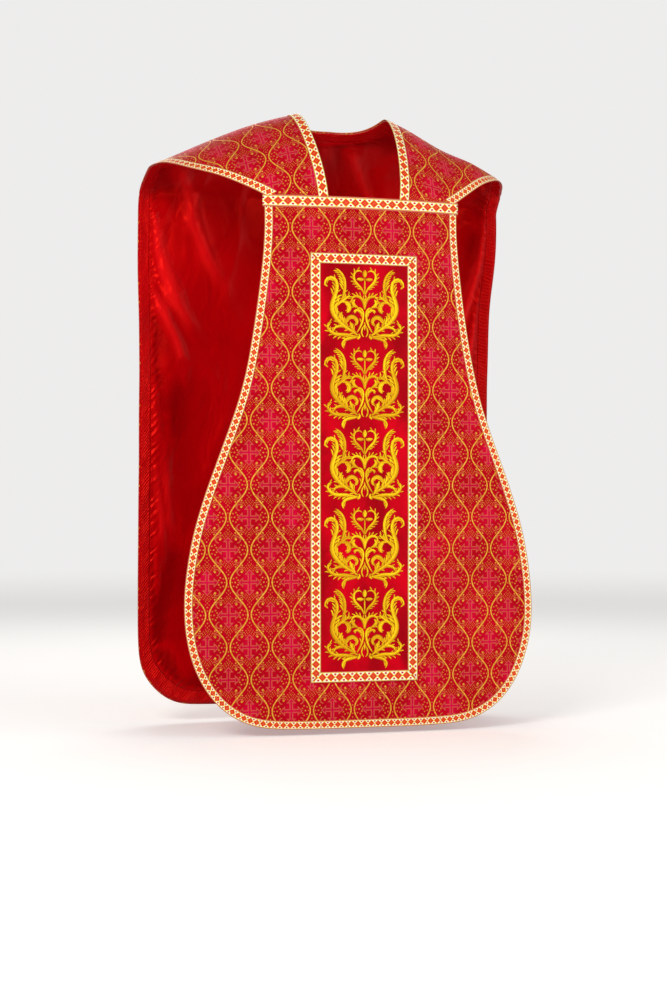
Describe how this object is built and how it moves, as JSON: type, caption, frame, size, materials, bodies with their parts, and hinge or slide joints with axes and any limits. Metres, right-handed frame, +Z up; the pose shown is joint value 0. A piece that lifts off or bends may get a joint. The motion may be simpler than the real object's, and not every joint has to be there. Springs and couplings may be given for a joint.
{
  "type": "chasuble",
  "caption": "Fiddleback chasuble: shoulder yoke with an open neck, hanging front and back panels, braid edging, framed embroidered orphreys, lining and waist ties.",
  "frame": {"origin": "centre of the neck opening, level with the shoulder line where it meets the neck", "axes": "+Z up, the front of the garment faces -Y, the wearer's left is +X"},
  "size_m": [0.6962, 0.3106, 1.1142],
  "materials": {
    "brocade": "woven silk damask with gold figure",
    "lining_satin": "glossy satin",
    "linen_canvas": "stiff plain-weave canvas",
    "orphrey_satin": "matt-faced satin",
    "wide_galloon": "woven metallic braid",
    "narrow_galloon": "woven metallic braid",
    "gold_embroidery": "satin stitch in gold thread",
    "tie_tape": "woven tape"
  },
  "bodies": {
    "yoke": {"neck_galloon_back": "wide_galloon", "neck_galloon_left": "wide_galloon", "neck_galloon_right": "wide_galloon", "shoulder_galloon_left": "narrow_galloon", "shoulder_galloon_right": "narrow_galloon", "yoke_brocade": "brocade", "yoke_interlining": "linen_canvas", "yoke_lining": "lining_satin"},
    "front_panel": {"front_brocade": "brocade", "front_chest_galloon": "wide_galloon", "front_edge_galloon": "narrow_galloon", "front_embroidery_1": "gold_embroidery", "front_embroidery_2": "gold_embroidery", "front_embroidery_3": "gold_embroidery", "front_embroidery_4": "gold_embroidery", "front_embroidery_5": "gold_embroidery", "front_interlining": "linen_canvas", "front_lining": "lining_satin", "front_orphrey": "orphrey_satin", "front_orphrey_galloon_bottom": "wide_galloon", "front_orphrey_galloon_left": "wide_galloon", "front_orphrey_galloon_right": "wide_galloon", "front_orphrey_galloon_top": "wide_galloon"},
    "back_panel": {"back_brocade": "brocade", "back_edge_galloon": "narrow_galloon", "back_embroidery_1": "gold_embroidery", "back_embroidery_2": "gold_embroidery", "back_embroidery_3": "gold_embroidery", "back_embroidery_4": "gold_embroidery", "back_embroidery_5": "gold_embroidery", "back_interlining": "linen_canvas", "back_lining": "lining_satin", "back_orphrey": "orphrey_satin", "back_orphrey_galloon_bottom": "wide_galloon", "back_orphrey_galloon_left": "wide_galloon", "back_orphrey_galloon_right": "wide_galloon", "back_orphrey_galloon_top": "wide_galloon", "tie_anchor_left": "lining_satin", "tie_anchor_right": "lining_satin"},
    "tie_left": {"waist_tie_left": "tie_tape"},
    "tie_right": {"waist_tie_right": "tie_tape"}
  },
  "joints": [
    {"name": "front_panel_swing", "type": "hinge", "parent": "yoke", "child": "front_panel", "pos_m": [0, -0.1402, -0.1662], "axis": [-1, 0, 0], "range_deg": [-5, 85]},
    {"name": "back_panel_swing", "type": "hinge", "parent": "yoke", "child": "back_panel", "pos_m": [0, 0.1702, -0.1362], "axis": [1, 0, 0], "range_deg": [-2, 75]},
    {"name": "tie_left_swing", "type": "hinge", "parent": "back_panel", "child": "tie_left", "pos_m": [0.105, 0.1599, -0.48], "axis": [-0.117, -0.9931, 0], "range_deg": [0, 95]},
    {"name": "tie_right_swing", "type": "hinge", "parent": "back_panel", "child": "tie_right", "pos_m": [-0.105, 0.1599, -0.48], "axis": [-0.117, 0.9931, 0], "range_deg": [0, 95]}
  ]
}
